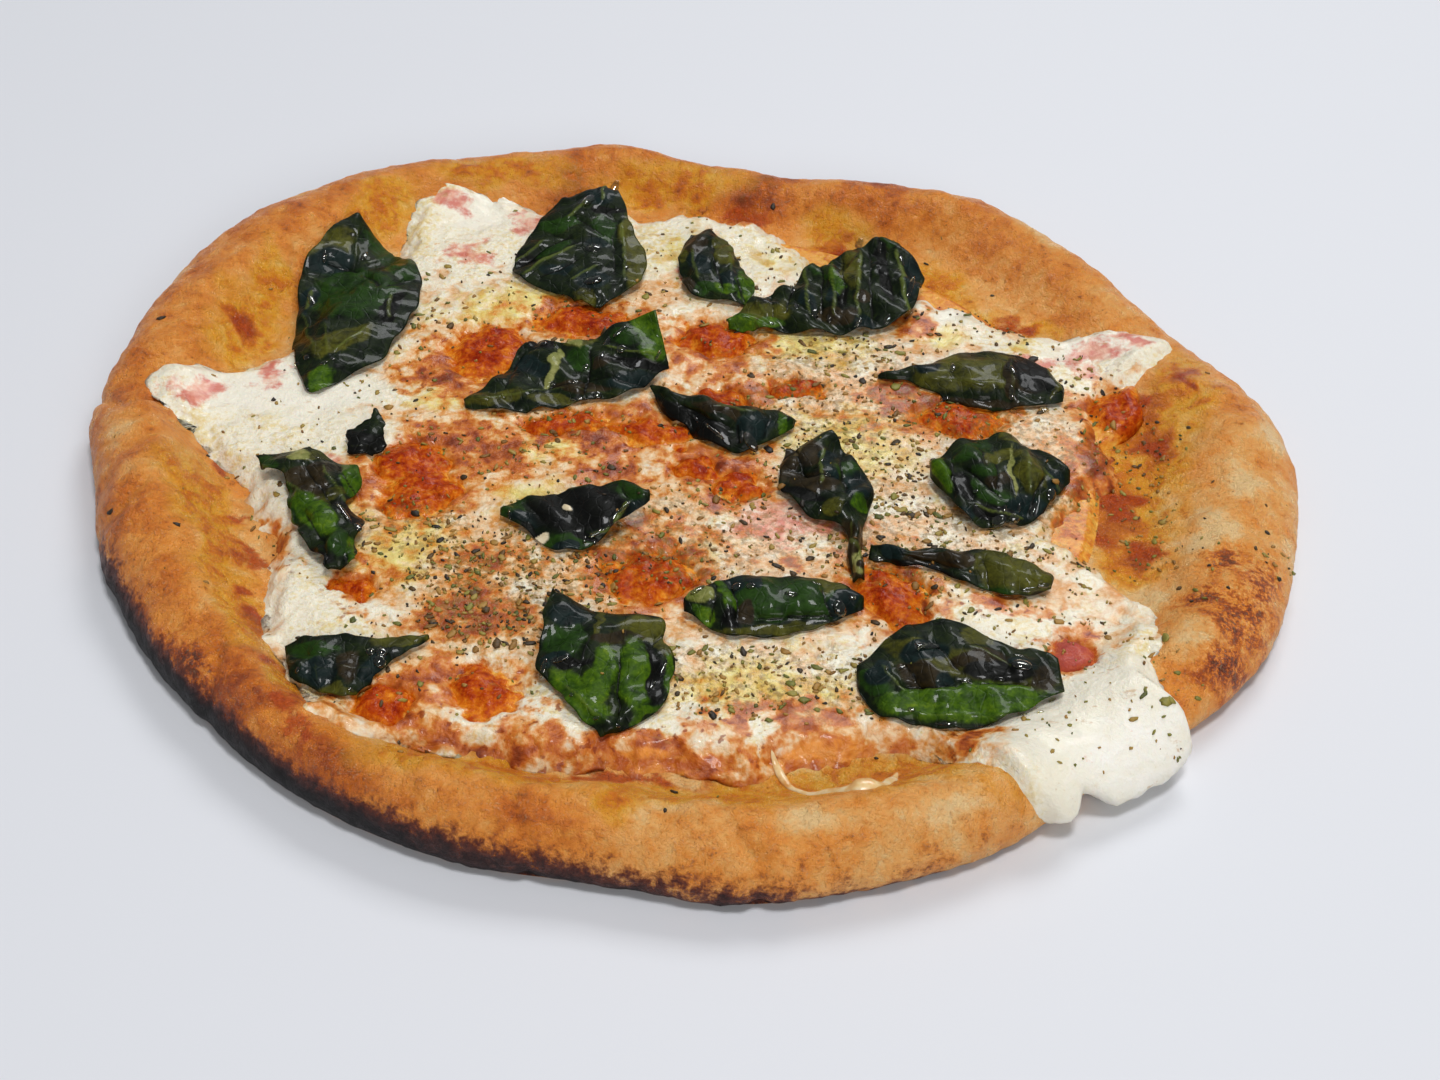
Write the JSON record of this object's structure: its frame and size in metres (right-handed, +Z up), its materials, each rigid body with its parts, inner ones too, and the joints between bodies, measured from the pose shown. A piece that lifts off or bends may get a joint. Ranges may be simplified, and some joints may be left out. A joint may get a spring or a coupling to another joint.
{
  "type": "margherita pizza",
  "caption": "Whole baked margherita pizza: puffed uneven crust, tomato sauce, melted mozzarella run over the rim at one side, lumps of tomato, dried herbs and wilted basil leaves.",
  "frame": {"origin": "centre of the bounding box on the surface that the pizza lies on", "axes": "+Z up out of the toppings, +X to the right and +Y away from the side where the long front rim is, with the cheese spill at the front right"},
  "size_m": [0.3116, 0.2902, 0.0228],
  "materials": {
    "crust": "baked dough, golden brown, grainy, browned in patches and charred along the lower edge",
    "sauce": "wet orange-red tomato sauce with lumps",
    "cheese": "melted mozzarella, cream-white with oily yellow and orange patches",
    "basil": "wilted basil, oily, very dark green with brighter green parts"
  },
  "bodies": {
    "root": {"crust": "crust", "sauce": "sauce", "cheese": "cheese", "basil_01": "basil", "basil_02": "basil", "basil_03": "basil", "basil_04": "basil", "basil_05": "basil", "basil_06": "basil", "basil_07": "basil", "basil_08": "basil", "basil_09": "basil", "basil_10": "basil", "basil_11": "basil", "basil_12": "basil", "basil_13": "basil", "basil_14": "basil", "basil_15": "basil", "basil_16": "basil", "basil_scrap": "basil"}
  },
  "joints": []
}
